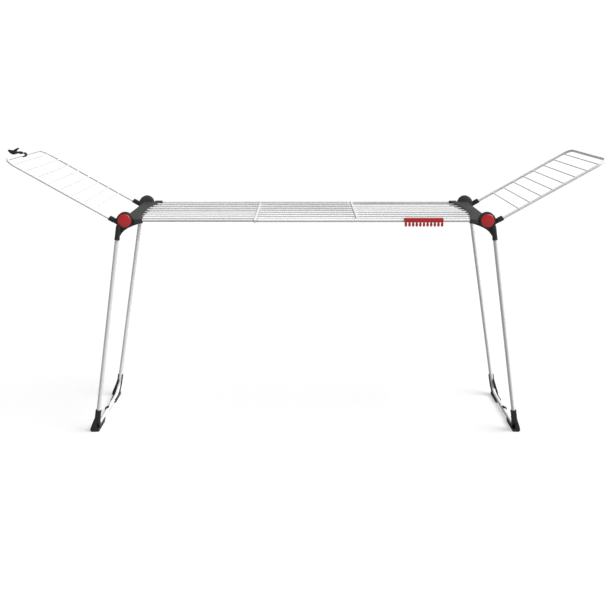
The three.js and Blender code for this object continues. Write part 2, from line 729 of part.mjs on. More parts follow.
// One half of the rack, in a frame at its hub centre whose x points to the middle of the deck.
// frontSign is -1 where the half's own -y is the rack's front.
function half(side, frontSign, flare) {
  const group = new THREE.Group();
  const thickEnd = frontSign < 0 ? 'rear' : 'front';
  const thinEnd = frontSign < 0 ? 'front' : 'rear';
  group.add(piece(`${side}_head`, headGeometry(), 'panel'));
  addDeckRods(group, side, thickEnd, thinEnd);

  const wing = new THREE.Group();
  wing.rotation.y = WING_ANGLE;
  wing.add(piece(`${side}_wing_grid`, wingGridGeometry(), 'white'));

  const leg = new THREE.Group();
  leg.rotation.y = LEG_SPLAY;
  leg.add(piece(`${side}_leg_frame`, legFrameGeometry(), 'white'));
  leg.add(piece(`${side}_floor_bar_clip`, clipGeometry(), 'black'));

  for (const end of [-1, 1]) {
    const place = end === frontSign ? 'front' : 'rear';
    const pin = piece(`${side}_${place}_hinge_pin`, pinGeometry(), 'steel');
    const arm = piece(`${side}_${place}_wing_arm`, wingArmGeometry(), 'black');
    const bracket = piece(`${side}_${place}_leg_bracket`, legBracketGeometry(), 'black');
    const cap = piece(`${side}_${place}_hub_cap`, capGeometry(), place === 'front' ? 'red' : 'black');
    const shoe = piece(`${side}_${place}_shoe`, shoeGeometry(flare), 'black');
    for (const mesh of [pin, arm, bracket, cap, shoe]) mesh.scale.y = -end;
    group.add(pin);
    wing.add(arm);
    leg.add(bracket, cap, shoe);
  }
  group.add(wing, leg);
  return group;
}

const rack = new THREE.Group();

const left = half('left', -1, LEFT_FLARE);
left.position.set(LATCH_SHIFT - HUB_X, 0, HUB_Z);
const latchHolder = new THREE.Group();
latchHolder.rotation.y = WING_ANGLE;
latchHolder.add(piece('wing_latch', latchGeometry(), 'black'));
left.add(latchHolder);

const right = half('right', 1, RIGHT_FLARE);
right.position.set(LATCH_SHIFT + HUB_X, 0, HUB_Z);
right.rotation.z = Math.PI;
right.add(piece('small_items_comb', combGeometry(), 'red'));

rack.add(left, right);

export default rack;
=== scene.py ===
"""The looks of the extendable winged clothes drying rack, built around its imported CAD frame.

Blender objects are in metres. The shapes are drawn in millimetres in the same local frames as the
CAD: a side frame at each hub centre whose x points to the middle of the deck, a wing frame and a leg
frame turned about it, and each is carried to the row frame by one matrix.
"""
import json
import math

import bmesh
import bpy
from mathutils import Matrix, Vector


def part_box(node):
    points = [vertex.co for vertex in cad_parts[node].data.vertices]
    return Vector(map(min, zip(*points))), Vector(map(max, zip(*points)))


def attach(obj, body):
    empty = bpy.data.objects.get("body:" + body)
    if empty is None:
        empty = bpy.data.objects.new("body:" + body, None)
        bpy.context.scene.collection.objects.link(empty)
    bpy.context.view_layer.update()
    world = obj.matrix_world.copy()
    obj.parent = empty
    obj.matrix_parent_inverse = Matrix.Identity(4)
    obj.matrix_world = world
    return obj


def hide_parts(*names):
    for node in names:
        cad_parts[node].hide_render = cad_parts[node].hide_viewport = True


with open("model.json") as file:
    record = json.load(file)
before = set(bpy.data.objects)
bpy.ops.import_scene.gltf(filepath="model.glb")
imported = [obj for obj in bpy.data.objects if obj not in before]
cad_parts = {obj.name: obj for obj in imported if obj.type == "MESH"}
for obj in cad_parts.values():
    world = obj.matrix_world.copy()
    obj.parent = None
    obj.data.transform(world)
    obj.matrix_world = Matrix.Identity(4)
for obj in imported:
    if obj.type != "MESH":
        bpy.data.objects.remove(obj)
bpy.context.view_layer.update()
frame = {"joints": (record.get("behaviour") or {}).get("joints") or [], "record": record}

RECORD = frame["record"]
SLOT_OF = {part["node"]: part["material_slot"] for part in RECORD["subparts"]}
BODY_OF = {node: body for body, nodes in RECORD["behaviour"]["bodies"].items() for node in nodes}
HUBS = {joint["name"][: -len("_wing_fold")]: Vector(joint["pos_m"])
        for joint in frame["joints"] if joint["name"].endswith("_wing_fold")}

# ---- Driving dimensions, in millimetres --------------------------------------------------------

MM = 0.001
ROD_PITCH = 60
ROD_Z = 0.2
ROD_YS = [ROD_PITCH * (i + 0.5) for i in range(4)]
RAIL_Y = 270
RAIL_R, RAIL_BORE = 7.25, 6.5
INNER_RAIL_R, INNER_RAIL_BORE = 6.0, 5.1
TUBE_R, TUBE_BORE = 4.0, 3.15
INNER_ROD_R = 2.5
SOCKET_START, RAIL_START = 34, 41
DECK_MIDDLE = 757.6
TUBE_END, INNER_END = DECK_MIDDLE + 220, DECK_MIDDLE - 40
GUIDE_WIDTH, GUIDE_HALF_HEIGHT, GUIDE_COLLAR, TUBE_PROUD = 8, 5.8, 1.5, 1

# Room round a rail or wing tube in its socket, round a deck tube in its socket, and round a tube
# that slides; the gap that keeps two ends apart; and how far a cutter passes the face it opens.
SOCKET_FIT, TUBE_FIT, RUNNING_FIT, END_GAP, OVERCUT = 0.4, 0.45, 0.7, 0.3, 5

PANEL_TOP, PANEL_BOTTOM, PANEL_SKIN = 7.2, -11.8, 3
PANEL_OUTER, PANEL_WAIST, HEAD_TIP = -8.5, 43, 73
PANEL_Y, CORNER_X, PANEL_WALL = 250.5, 38.5, 4
NOTCH_R, NOTCH_DEPTH, RIB_HALF, EDGE_WALL = 7.7, 4.5, 8, 10
CHEEK_IN, CHEEK_OUT, CHEEK_R = 250, 258.7, 34.5
ARM_RISE, SHOULDER_X = 1.3, 34
RAIL_SLEEVE_R = 9.3

WING_DISC_IN, WING_DISC_OUT, WING_DISC_R = 259, 267.2, 33.5
LEG_DISC_IN, LEG_DISC_OUT, LEG_DISC_R = 267.5, 277, 34.2
CAP_IN, CAP_OUT, CAP_R = 277.3, 281.3, 27.8
PIN_R, PIN_BORE_R, PIN_HEAD_R, PIN_HEAD_THICK, PIN_IN, PIN_ROOM = 6, 6.6, 10, 3, 246, 0.6

WING_ANGLE = math.radians(29.9)
WING_LENGTH, WING_OFFSET, WING_BEND = 543, -25.2, 50
WING_TUBE_R, WING_BORE, WING_Y = 5.5, 4.6, 265
ARM_START, ARM_END, ARM_TOP, ARM_BOTTOM = 37, 62, -12.8, -32.4
ARM_IN, ARM_OUT = 256.9, 273.1
WIRE_R, WIRE_COUNT, WIRE_FIRST, WIRE_PITCH, WIRE_END_R = 2.2, 8, 138, 52.6, 2.2

LEG_SPLAY = math.radians(9.54)
LEG_OFFSET, LEG_R, LEG_BORE, LEG_ROOM_R = 22.7, 8.8, 7.8, 9.3
LEG_TOP_Y, FOOT_Y, LEG_BEND, FLOOR_BAR_Z = 272.6, 236, 62, 14
LEG_SOCKET_R, LEG_SOCKET_TOP, LEG_SOCKET_END, LEG_TOP = 10.6, -28, -87, -44
SHOE_WALL, SHOE_UP, SHOE_ALONG, SHOE_CHAMFER = 3.2, 30, 62, 4
SHOE_RIM = 0.7 * LEG_R
TREAD_HEIGHT, TREAD_COUNT, TREAD_WIDTH = 0.6, 6, 11
FIN_OUT, FIN_IN = 9, 24
FLARES = {"left": 17, "right": 11}
CLIP_HALF, CLIP_WALL = 15, 3
CLIP_MOUTH = math.radians(150)

LATCH_RING_R, LATCH_BORE, LATCH_HALF = 10, 6, 13
LATCH_WAIST_HALF, LATCH_WAIST_DEPTH = 8, 0.8
COMB_TEETH, COMB_PITCH, COMB_SLOT = 11, 15.1, 4.4
COMB_HOLE_R, COMB_HOLE_Z, COMB_TOP, COMB_BOTTOM = 3.6, -8.5, 10.6, -24.5
COMB_ROOF = 2.3
COMB_FRONT, COMB_BACK, COMB_WALL, COMB_LIP = 281.6, 259.3, 3, -10
COMB_RIB_HALF = 1.6

HUB_Z = HUBS["left"].z / MM
LEG_LEAN = (LEG_TOP_Y - FOOT_Y) / (HUB_Z / math.cos(LEG_SPLAY))
BAR_Z = -(HUB_Z - FLOOR_BAR_Z + LEG_OFFSET * math.sin(LEG_SPLAY)) / math.cos(LEG_SPLAY)
X_AXIS, Y_AXIS, Z_AXIS = Vector((1, 0, 0)), Vector((0, 1, 0)), Vector((0, 0, 1))


# ---- Camera ------------------------------------------------------------------------------------

CAMERA_SENSOR_MM, CAMERA_LENS_MM = 36, 51.36
CAMERA_PLACE = (0.026, -3.8767, 1.5385)
CAMERA_DIP = math.radians(14.659)


def add_camera():
    data = bpy.data.cameras.new("camera")
    data.sensor_width = CAMERA_SENSOR_MM
    data.lens = CAMERA_LENS_MM
    camera = bpy.data.objects.new("camera", data)
    camera.location = CAMERA_PLACE
    camera.rotation_euler = (math.pi / 2 - CAMERA_DIP, 0, 0)
    bpy.context.scene.collection.objects.link(camera)
    bpy.context.scene.camera = camera


add_camera()


# ---- Frames ------------------------------------------------------------------------------------

def side_frame(side):
    """Side frame in millimetres to the row frame in metres."""
    turn = 0 if side == "left" else math.pi
    return Matrix.Translation(HUBS[side]) @ Matrix.Rotation(turn, 4, "Z") @ Matrix.Scale(MM, 4)


def wing_frame(side):
    return side_frame(side) @ Matrix.Rotation(WING_ANGLE, 4, "Y")


def leg_frame(side):
    return side_frame(side) @ Matrix.Rotation(LEG_SPLAY, 4, "Y")


def at_end(end):
    """Pieces of a hub are drawn for the end at -y; this carries them to either end."""
    return Matrix.Diagonal((1, -end, 1, 1))


# ---- Outlines ----------------------------------------------------------------------------------

LEAST_TURN = math.radians(12)
LONGEST_REACH = 0.45


def circle(radius, sides):
    angles = [2 * math.pi * k / sides for k in range(sides)]
    return [(radius * math.cos(a), radius * math.sin(a)) for a in angles]


def arc(centre, radius, start, end, steps):
    """Points round an arc, from the start angle to the end angle in radians, both included."""
    angles = [start + (end - start) * k / steps for k in range(steps + 1)]
    return [(centre[0] + radius * math.cos(a), centre[1] + radius * math.sin(a)) for a in angles]


def curve(start, control, end, steps=8):
    """Quadratic curve without its start point."""
    points = []
    for k in range(1, steps + 1):
        t = k / steps
        a, b, c = (1 - t) ** 2, 2 * t * (1 - t), t * t
        points.append(tuple(a * start[i] + b * control[i] + c * end[i] for i in range(2)))
    return points


def soft(points, radius, steps=4):
    """The outline with its corners rounded, except those that hardly turn."""
    made = []
    count = len(points)
    for i in range(count):
        before, here, after = (Vector(points[(i + k) % count]) for k in (-1, 0, 1))
        back, on = before - here, after - here
        turn = math.pi - back.angle(on)
        if turn < LEAST_TURN:
            made.append(tuple(here))
            continue
        longest = LONGEST_REACH * min(back.length, on.length)
        reach = min(radius * math.tan(turn / 2), longest)
        start, end = here + back.normalized() * reach, here + on.normalized() * reach
        made.append(tuple(start))
        made += curve(start, here, end, steps)
    return made


# ---- Shells: lists of points and faces ----------------------------------------------------------

def loft(rings, loop=False):
    """Closed shell through rings of equally many points. Its ends are capped, or joined in a loop."""
    count = len(rings[0])
    points = [point for ring in rings for point in ring]
    faces = []
    for i in range(len(rings) if loop else len(rings) - 1):
        a, b = i * count, (i + 1) % len(rings) * count
        faces += [(a + k, a + (k + 1) % count, b + (k + 1) % count, b + k) for k in range(count)]
    if not loop:
        faces.append(tuple(reversed(range(count))))
        faces.append(tuple(range(len(points) - count, len(points))))
    return points, faces


def merged(*shells):
    points, faces = [], []
    for shell_points, shell_faces in shells:
        faces += [tuple(index + len(points) for index in face) for face in shell_faces]
        points += shell_points
    return points, faces


def moved(shell, matrix):
    return [matrix @ Vector(point) for point in shell[0]], shell[1]


def bent_path(corners, bend, steps=14):
    """Straight runs between the corners, joined by round bends."""
    corners = [Vector(corner) for corner in corners]
    points = [corners[0]]
    for before, here, after in zip(corners, corners[1:], corners[2:]):
        arriving, leaving = (here - before).normalized(), (after - here).normalized()
        turn = arriving.angle(leaving)
        inward = (leaving - arriving * arriving.dot(leaving)).normalized()
        centre = here - arriving * bend * math.tan(turn / 2) + inward * bend
        for k in range(steps + 1):
            angle = turn * k / steps
            points.append(centre - inward * bend * math.cos(angle)
                          + arriving * bend * math.sin(angle))
    points.append(corners[-1])
    return points


def path_tangents(path):
    made = []
    for i, point in enumerate(path):
        arriving = (point - path[max(i - 1, 0)]).normalized()
        leaving = (path[min(i + 1, len(path) - 1)] - point).normalized()
        made.append((arriving + leaving).normalized())
    return made


def sweep(section, path, normal, ends=0.0):
    """A section swept along a flat path. Its first axis is the path's normal. The ends are eased."""
    rings = []
    tangents = path_tangents(path)
    last = len(path) - 1
    for i, (point, tangent) in enumerate(zip(path, tangents)):
        side = tangent.cross(normal).normalized()
        steps = [(0, 1.0)]
        if ends and i == 0:
            steps = [(0, 1 - ends * 0.12), (ends, 1.0)]
        elif ends and i == last:
            steps = [(-ends, 1.0), (0, 1 - ends * 0.12)]
        for shift, size in steps:
            centre = point + tangent * shift
            rings.append([centre + normal * u * size + side * v * size for u, v in section])
    return loft(rings)


def pipe(path, normal, radius, bore=0.0, sides=32, lip=0.5):
    """Round tube along a flat path with eased ends, hollow where a bore is given."""
    along = list(zip(path, path_tangents(path)))
    (start, first), (end, last) = along[0], along[-1]
    stations = [(start, first, radius - lip), (start + first * lip, first, radius)]
    stations += [(point, tangent, radius) for point, tangent in along[1:-1]]
    stations += [(end - last * lip, last, radius), (end, last, radius - lip)]
    if bore:
        stations += [(point, tangent, bore) for point, tangent in reversed(along)]
    rings = []
    for point, tangent, size in stations:
        side = tangent.cross(normal).normalized()
        rings.append([point + normal * u + side * v for u, v in circle(size, sides)])
    return loft(rings, loop=bool(bore))


def pipe_x(radius, bore, x0, x1, y, z, sides=32, lip=0.5):
    return pipe([Vector((x0, y, z)), Vector((x1, y, z))], Y_AXIS, radius, bore, sides, lip)


def rod_y(radius, y0, y1, sides=32):
    """Solid round rod about the hub's axis."""
    return pipe([Vector((0, y0, 0)), Vector((0, y1, 0))], X_AXIS, radius, sides=sides)


def turned(profile, x=0.0, z=0.0, sides=64, loop=False):
    """A profile of (radius, y) turned about an axis along y through x and z."""
    rings = [[Vector((x + u, y, z + v)) for u, v in circle(max(radius, 0.05), sides)]
             for radius, y in profile]
    return loft(rings, loop)


def eased_disc(radius, low, high, fillet):
    """Disc with rounded rims, drawn about the hub's axis."""
    near = [(radius - fillet, low), (radius - 0.3 * fillet, low + 0.3 * fillet), (radius, low + fillet)]
    far = [(r, low + high - y) for r, y in reversed(near)]
    return turned([(0, low)] + near + far + [(0, high)])


def plate(outline, low, high, axis, ease=0.6, segments=2):
    """Plate with eased rims. The outline is in x and z for axis y, and in x and y for axis z."""
    def place(u, v, w):
        return Vector((u, w, v)) if axis == "y" else Vector((u, v, w))
    bm = bmesh.new()
    loops = [[bm.verts.new(place(u, v, w)) for u, v in outline] for w in (low, high)]
    count = len(outline)
    for k in range(count):
        n = (k + 1) % count
        bm.faces.new((loops[0][k], loops[0][n], loops[1][n], loops[1][k]))
    for ring in loops:
        bm.faces.new(ring)
    bmesh.ops.recalc_face_normals(bm, faces=bm.faces)
    if ease:
        rims = [bm.edges.get((ring[k], ring[(k + 1) % count]))
                for ring in loops for k in range(count)]
        bmesh.ops.bevel(bm, geom=rims, offset=ease, segments=segments, profile=0.5,
                        affect="EDGES", clamp_overlap=True)
    shell = shell_of(bm)
    bm.free()
    return shell


def shell_of(bm):
    bm.verts.index_update()
    faces = [tuple(vert.index for vert in face.verts) for face in bm.faces]
    return [vert.co.copy() for vert in bm.verts], faces


def block(x0, x1, y0, y1, z0, z1, ease=0.6, corner=0.0):
    """Box with eased edges; its upright corners may be rounder."""
    outline = [(x0, y0), (x1, y0), (x1, y1), (x0, y1)]
    return plate(soft(outline, corner or ease, steps=3), z0, z1, "z", ease)


def clean_mesh(name, shell, matrix=None):
    """A mesh with outward normals."""
    mesh = bpy.data.meshes.new(name)
    points = [matrix @ Vector(point) for point in shell[0]] if matrix else shell[0]
    mesh.from_pydata(points, [], shell[1])
    bm = bmesh.new()
    bm.from_mesh(mesh)
    bmesh.ops.recalc_face_normals(bm, faces=bm.faces)
    bm.to_mesh(mesh)
    bm.free()
    return mesh


WELD_DISTANCE = 0.001


def combined(base, operation, *others):
    """The base with the other closed shells joined to it or cut from it."""
    objects = []
    for k, shell in enumerate((base,) + others):
        obj = bpy.data.objects.new(f"operand_{k}", clean_mesh(f"operand_{k}", shell))
        bpy.context.scene.collection.objects.link(obj)
        objects.append(obj)
    for other in objects[1:]:
        step = objects[0].modifiers.new(other.name, "BOOLEAN")
        step.operation = operation
        step.object = other
        step.solver = "MANIFOLD"
    bpy.context.view_layer.update()
    result = objects[0].evaluated_get(bpy.context.evaluated_depsgraph_get()).to_mesh()
    bm = bmesh.new()
    bm.from_mesh(result)
    bmesh.ops.remove_doubles(bm, verts=bm.verts, dist=WELD_DISTANCE)
    shell = shell_of(bm)
    bm.free()
    for obj in objects:
        mesh = obj.data
        bpy.data.objects.remove(obj)
        bpy.data.meshes.remove(mesh)
    return shell


def union(base, *others):
    return combined(base, "UNION", *others)


def cut(base, *others):
    return combined(base, "DIFFERENCE", *others)


# ---- Materials -----------------------------------------------------------------------------------

# Noise as (scale per metre, detail), for the tone, the rubbed patches and the gloss.
TONE_NOISE, SCUFF_NOISE, GLOSS_NOISE = (7, 4), (55, 9), (38, 6)
SCUFF_BAND = (0.6, 0.72)
GLOSS_DOWN, GLOSS_UP = 0.06, 0.07
COAT_ROUGHNESS = 0.06
BRUSH_STRETCH = (1, 12, 1)


def finish_material(name, colour, roughness, grain, depth, spread=0.05, metallic=0.0, coat=0.0,
                    pits=False, scuff=0.0, brushed=False):
    """Procedural surface: tone that wanders, fine grain or pits as bump, and uneven gloss.

    grain is the number of grains per metre, depth their height in metres, spread the change of tone.
    """
    material = bpy.data.materials.new(name)
    material.use_nodes = True
    nodes, links = material.node_tree.nodes, material.node_tree.links
    shader = nodes["Principled BSDF"]
    shader.inputs["Metallic"].default_value = metallic
    shader.inputs["Coat Weight"].default_value = coat
    shader.inputs["Coat Roughness"].default_value = COAT_ROUGHNESS
    place = nodes.new("ShaderNodeTexCoord").outputs["Object"]

    def noise(scale, detail, source=place):
        node = nodes.new("ShaderNodeTexNoise")
        node.inputs["Scale"].default_value = scale
        node.inputs["Detail"].default_value = detail
        links.new(source, node.inputs["Vector"])
        return node.outputs["Fac"]

    def ranged(value, low, high, start=0.35, end=0.65):
        node = nodes.new("ShaderNodeMapRange")
        node.inputs["From Min"].default_value = start
        node.inputs["From Max"].default_value = end
        node.inputs["To Min"].default_value = low
        node.inputs["To Max"].default_value = high
        links.new(value, node.inputs["Value"])
        return node.outputs["Result"]

    def blended(fac, a, b):
        node = nodes.new("ShaderNodeMix")
        node.data_type = "RGBA"
        links.new(fac, node.inputs["Factor"])
        for socket, value in ((node.inputs["A"], a), (node.inputs["B"], b)):
            if isinstance(value, tuple):
                socket.default_value = (*value, 1)
            else:
                links.new(value, socket)
        return node.outputs["Result"]

    dark = tuple(c * (1 - spread) for c in colour)
    light = tuple(min(c * (1 + spread), 1.0) for c in colour)
    tone = blended(ranged(noise(*TONE_NOISE), 0, 1), dark, light)
    if scuff:
        rubbed = ranged(noise(*SCUFF_NOISE), 0, scuff, *SCUFF_BAND)
        tone = blended(rubbed, tone, tuple(min(c * 1.6 + 0.05, 1.0) for c in colour))
    links.new(tone, shader.inputs["Base Color"])
    gloss = ranged(noise(*GLOSS_NOISE), roughness - GLOSS_DOWN, roughness + GLOSS_UP)
    links.new(gloss, shader.inputs["Roughness"])

    if pits:
        cells = nodes.new("ShaderNodeTexVoronoi")
        cells.inputs["Scale"].default_value = grain
        links.new(place, cells.inputs["Vector"])
        height = cells.outputs["Distance"]
    elif brushed:
        stretch = nodes.new("ShaderNodeMapping")
        stretch.inputs["Scale"].default_value = BRUSH_STRETCH
        links.new(place, stretch.inputs["Vector"])
        height = noise(grain, 2, stretch.outputs["Vector"])
    else:
        height = noise(grain, 3)
    bump = nodes.new("ShaderNodeBump")
    bump.inputs["Strength"].default_value = 1.0
    bump.inputs["Distance"].default_value = depth
    links.new(height, bump.inputs["Height"])
    links.new(bump.outputs["Normal"], shader.inputs["Normal"])
    return material


MATERIALS = {
    "white_powder_coat": finish_material(
        "white_powder_coat", (0.83, 0.83, 0.832), 0.34, 650, 0.00006, spread=0.03),
    "grey_powder_coat": finish_material(
        "grey_powder_coat", (0.70, 0.702, 0.705), 0.34, 700, 0.00005, spread=0.04),
    "panel_plastic": finish_material(
        "panel_plastic", (0.040, 0.040, 0.041), 0.52, 800, 0.00012, spread=0.07, pits=True, scuff=0.12),
    "black_plastic": finish_material(
        "black_plastic", (0.020, 0.020, 0.021), 0.42, 800, 0.00012, spread=0.10, pits=True, scuff=0.16),
    "red_plastic": finish_material(
        "red_plastic", (0.58, 0.015, 0.022), 0.22, 260, 0.00003, spread=0.05, coat=0.5),
    "ivory_plastic": finish_material(
        "ivory_plastic", (0.78, 0.78, 0.77), 0.45, 700, 0.00008, spread=0.03, pits=True),
    "pin_steel": finish_material(
        "pin_steel", (0.55, 0.56, 0.57), 0.3, 400, 0.00004, metallic=1.0, brushed=True),
}


# ---- Pieces --------------------------------------------------------------------------------------

SHARP_ANGLE = math.radians(32)


def stand_for(node, shell, matrix):
    """A piece that stands for a CAD node, on its body and with its record's finish."""
    mesh = clean_mesh(f"{node}_fine", shell, matrix)
    mesh.shade_smooth()
    mesh.set_sharp_from_angle(angle=SHARP_ANGLE)
    obj = bpy.data.objects.new(f"{node}_fine", mesh)
    bpy.context.scene.collection.objects.link(obj)
    slot = SLOT_OF[node]
    mesh.materials.append(MATERIALS[slot])
    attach(obj, BODY_OF[node])
    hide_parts(node)


# ---- Head ----------------------------------------------------------------------------------------

def inner_edge(y):
    """Inner edge of the panel: a shallow arc through its two tips."""
    return PANEL_WAIST + (HEAD_TIP - PANEL_WAIST) * (y / RAIL_Y) ** 2


def panel_outline():
    outside = RAIL_Y + RAIL_SLEEVE_R
    points = [(PANEL_OUTER, PANEL_Y), (PANEL_OUTER, -PANEL_Y), (CORNER_X, -PANEL_Y),
              (CORNER_X, -outside), (HEAD_TIP, -outside)]
    steps = 36
    points += [(inner_edge(y), y) for y in (-RAIL_Y + 2 * RAIL_Y * k / steps for k in range(steps + 1))]
    points += [(HEAD_TIP, outside), (CORNER_X, outside), (CORNER_X, PANEL_Y)]
    return soft(points, 3, steps=4)


def web_outline():
    """The hub's arm to the rail, and the web that sweeps down to back up the leg."""
    points = [(HEAD_TIP, PANEL_TOP + ARM_RISE), (SHOULDER_X, PANEL_TOP), (0, 14),
              (-30, -12), (-31, -66), (-24, -66)]
    return soft(points + curve((-24, -66), (-7.7, -32), (HEAD_TIP, PANEL_BOTTOM), 18), 2, 3)


def head_shell():
    head = plate(panel_outline(), PANEL_BOTTOM, PANEL_TOP, "z", ease=1.1, segments=3)
    for end in (-1, 1):
        near, far = sorted((end * CHEEK_IN, end * CHEEK_OUT))
        head = union(
            head,
            eased_disc(CHEEK_R, near, far, fillet=1.4),
            plate(web_outline(), near, far, "y", ease=1.0, segments=3),
            pipe_x(RAIL_SLEEVE_R, 0, CORNER_X, HEAD_TIP + 1.5, end * RAIL_Y, ROD_Z, 48, lip=1.2),
        )
    rod_row = [-y for y in reversed(ROD_YS)] + ROD_YS
    rib_row = [-RAIL_Y] + rod_row + [RAIL_Y]
    hollows = []
    for a, b in zip(rib_row, rib_row[1:]):
        y0 = max(a + RIB_HALF, -CHEEK_IN + PANEL_WALL)
        y1 = min(b - RIB_HALF, CHEEK_IN - PANEL_WALL)
        x1 = inner_edge(min(abs(y0), abs(y1))) - EDGE_WALL
        roof = PANEL_TOP - PANEL_SKIN
        hollows.append(block(PANEL_OUTER + PANEL_WALL, x1, y0, y1, PANEL_BOTTOM - 9, roof, 0.8, 4))
    for y in rod_row:
        edge = inner_edge(y)
        hollows.append(pipe_x(TUBE_R + TUBE_FIT, 0, SOCKET_START, edge + 9, y, ROD_Z, 32))
        hollows.append(pipe_x(NOTCH_R, 0, edge - NOTCH_DEPTH, edge + 30, y, ROD_Z, 40))
    for end in (-1, 1):
        socket_r = RAIL_R + SOCKET_FIT
        hollows.append(pipe_x(socket_r, 0, RAIL_START, HEAD_TIP + 9, end * RAIL_Y, ROD_Z, 40))
        y0, y1 = sorted((end * (PIN_IN - 1), end * (CHEEK_OUT + OVERCUT)))
        hollows.append(rod_y(PIN_BORE_R, y0, y1))
    return cut(head, *hollows)


def hub_pin_shell():
    """Pin with a flat head, eased tip and a groove for its snap ring."""
    head = LEG_DISC_OUT - END_GAP
    tip = PIN_IN
    return turned([
        (0, -head), (PIN_HEAD_R - 0.6, -head), (PIN_HEAD_R, -head + 0.6),
        (PIN_HEAD_R, -head + PIN_HEAD_THICK), (PIN_R, -head + PIN_HEAD_THICK),
        (PIN_R, -tip - 2.6), (PIN_R - 0.7, -tip - 2.6), (PIN_R - 0.7, -tip - 1.6),
        (PIN_R, -tip - 1.6), (PIN_R, -tip - 0.6), (PIN_R - 0.6, -tip), (0, -tip),
    ], sides=40)


def wing_arm_shell():
    web = soft([(-ARM_START, ARM_TOP), (-28, 4), (6, -30), (2, -34), (-ARM_START, ARM_BOTTOM),
                (-ARM_START - 6, ARM_BOTTOM), (-ARM_START - 6, ARM_TOP)], 2)
    section = soft([(-ARM_START, ARM_TOP), (-ARM_START, ARM_BOTTOM + 4), (-ARM_START - 4, ARM_BOTTOM),
                    (-ARM_END - 1, ARM_BOTTOM), (-ARM_END + 1, ARM_TOP)], 1.6)
    arm = union(
        eased_disc(WING_DISC_R, -WING_DISC_OUT, -WING_DISC_IN, fillet=1.2),
        plate(web, -WING_DISC_OUT, -WING_DISC_IN, "y", ease=0.8),
        plate(section, -ARM_OUT, -ARM_IN, "y", ease=1.6, segments=3),
    )
    half, proud = 0.9, 0.35
    ridges = [block(x - half, x + half, -ARM_OUT - proud, -ARM_IN + proud,
                    ARM_BOTTOM + 3, ARM_TOP + 0.3, 0.25)
              for x in (-ARM_START - 8, -ARM_START - 12.5, -ARM_START - 17)]
    return cut(
        union(arm, *ridges),
        rod_y(PIN_BORE_R, -WING_DISC_OUT - OVERCUT, -WING_DISC_IN + OVERCUT),
        pipe_x(WING_TUBE_R + SOCKET_FIT, 0, -ARM_END - OVERCUT, -ARM_START - 3, -WING_Y,
               WING_OFFSET, 40),
    )


# ---- Legs ----------------------------------------------------------------------------------------

def leg_axis_y(z):
    return LEG_TOP_Y + LEG_LEAN * z


def along_leg(radius, z0, z1, lip=0.5):
    """Solid round rod on the leg tube's axis."""
    ends = [Vector((-LEG_OFFSET, -leg_axis_y(z), z)) for z in (z0, z1)]
    return pipe(ends, X_AXIS, radius, sides=48, lip=lip)


def leg_bracket_shell():
    gusset = soft([(-LEG_OFFSET - 8, -14), (-13, -32), (-LEG_OFFSET + 9.5, LEG_SOCKET_END + 6),
                   (-LEG_OFFSET - 8, LEG_SOCKET_END + 6)], 2)
    collar = along_leg(LEG_SOCKET_R + 0.7, LEG_SOCKET_END + 5, LEG_SOCKET_END - 0.2, lip=0.7)
    bracket = union(
        eased_disc(LEG_DISC_R, -LEG_DISC_OUT, -LEG_DISC_IN, fillet=1.6),
        plate(gusset, -LEG_DISC_OUT, -LEG_DISC_IN, "y", ease=1.0),
        along_leg(LEG_SOCKET_R, LEG_SOCKET_TOP, LEG_SOCKET_END, lip=1.2),
        collar,
    )
    relief_r = CHEEK_R + 1
    return cut(
        bracket,
        rod_y(relief_r, -LEG_DISC_IN, -WING_DISC_IN + OVERCUT, 96),
        rod_y(relief_r, -LEG_DISC_OUT - 2 * OVERCUT, -LEG_DISC_OUT, 96),
        rod_y(PIN_HEAD_R + PIN_ROOM, -LEG_DISC_OUT - OVERCUT,
              -LEG_DISC_OUT + PIN_HEAD_THICK + PIN_ROOM, 40),
        rod_y(PIN_BORE_R, -LEG_DISC_OUT - OVERCUT, -LEG_DISC_IN + OVERCUT),
        along_leg(LEG_ROOM_R, LEG_TOP + 2, LEG_SOCKET_END - OVERCUT),
    )


def red_cap_shell():
    """Domed cap with a fine step round its rim."""
    dome = [(CAP_R * k / 12, -CAP_OUT + 2.6 * (k / 12) ** 2.4) for k in range(1, 12)]
    return turned([(0, -CAP_OUT)] + dome + [
        (CAP_R * 0.955, -CAP_IN - 1.5), (CAP_R * 0.965, -CAP_IN - 1.15), (CAP_R - 0.3, -CAP_IN - 1.1),
        (CAP_R, -CAP_IN - 0.8), (CAP_R, -CAP_IN), (0, -CAP_IN),
    ], sides=96)


def dark_cap_shell():
    """Plain cap with concentric steps."""
    return turned([
        (0, -CAP_OUT + 1.6), (CAP_R * 0.52, -CAP_OUT + 1.6), (CAP_R * 0.56, -CAP_OUT + 0.2),
        (CAP_R * 0.60, -CAP_OUT), (CAP_R * 0.70, -CAP_OUT), (CAP_R * 0.74, -CAP_OUT + 0.3),
        (CAP_R * 0.77, -CAP_OUT + 1.5), (CAP_R * 0.90, -CAP_OUT + 1.7), (CAP_R * 0.92, -CAP_OUT + 1.0),
        (CAP_R * 0.98, -CAP_OUT + 1.2), (CAP_R, -CAP_OUT + 2.0), (CAP_R, -CAP_IN), (0, -CAP_IN),
    ], sides=96)


def leg_path(top_z):
    foot_y = leg_axis_y(BAR_Z)
    return bent_path([
        (-LEG_OFFSET, -leg_axis_y(top_z), top_z), (-LEG_OFFSET, -foot_y, BAR_Z),
        (-LEG_OFFSET, foot_y, BAR_Z), (-LEG_OFFSET, leg_axis_y(top_z), top_z),
    ], LEG_BEND)


def upright_to_leg():
    """From an upright frame, whose z is the height above the floor, to the leg's frame."""
    return Matrix.Rotation(-LEG_SPLAY, 4, "Y") @ Matrix.Translation((0, 0, -HUB_Z))


def leg_axis_x(height):
    return -LEG_OFFSET / math.cos(LEG_SPLAY) - (HUB_Z - height) * math.tan(LEG_SPLAY)


